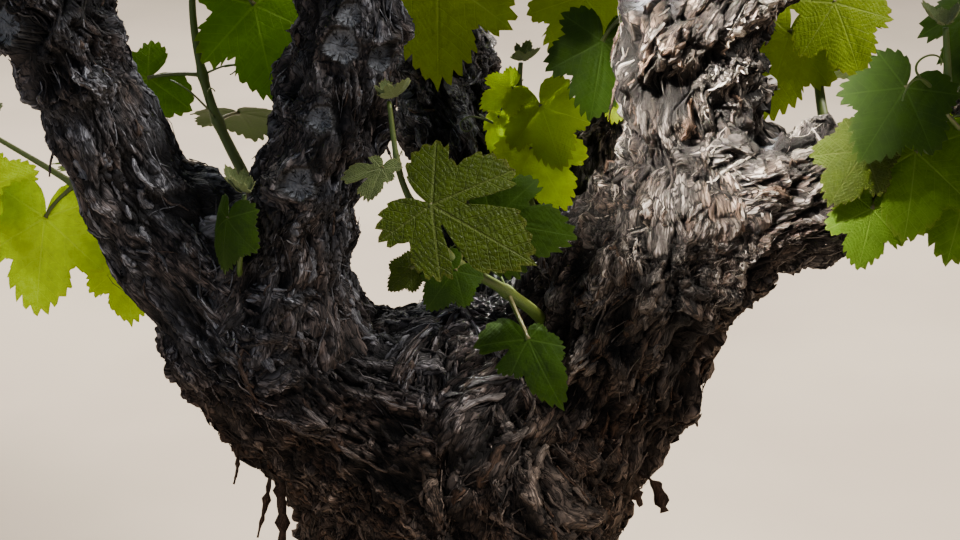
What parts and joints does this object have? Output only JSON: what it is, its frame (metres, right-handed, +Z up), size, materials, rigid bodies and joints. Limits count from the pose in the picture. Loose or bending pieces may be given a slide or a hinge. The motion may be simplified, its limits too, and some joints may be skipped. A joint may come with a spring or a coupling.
{
  "type": "grapevine",
  "caption": "Old bush-trained grapevine in spring: a short gnarled trunk forks into swollen limbs and arms, whose pruned spurs carry leafy green shoots.",
  "frame": {"origin": "middle of the flat cut under the trunk, at ground level", "axes": "+Z up from the ground; +Y from the side with the freed young shoot, between the two main limbs, to the back of the plant; +X to the right as seen from that front side"},
  "size_m": [0.7608, 0.528, 0.8949],
  "materials": {
    "bark": "weathered grey-brown bark in rough, peeling strips, with grey saw cuts",
    "foliage": "fresh yellow-green leaves and green stems, thin enough for light to glow through"
  },
  "bodies": {
    "root": {"trunk": "bark", "left_limb": "bark", "right_limb": "bark", "left_arm": "bark", "centre_arm": "bark", "upper_right_arm": "bark", "lower_right_arm": "bark", "back_right_arm": "bark", "back_left_arm": "bark", "left_foliage": "foliage", "centre_foliage": "foliage", "upper_right_foliage": "foliage", "lower_right_foliage": "foliage", "back_right_foliage": "foliage", "back_left_foliage": "foliage", "young_shoot": "foliage", "crotch_leaf": "foliage", "left_shoot": "foliage", "left_back_shoot": "foliage", "back_shoot": "foliage", "inner_left_shoot": "foliage", "inner_right_shoot": "foliage", "right_low_shoot": "foliage", "right_back_shoot": "foliage"}
  },
  "joints": []
}
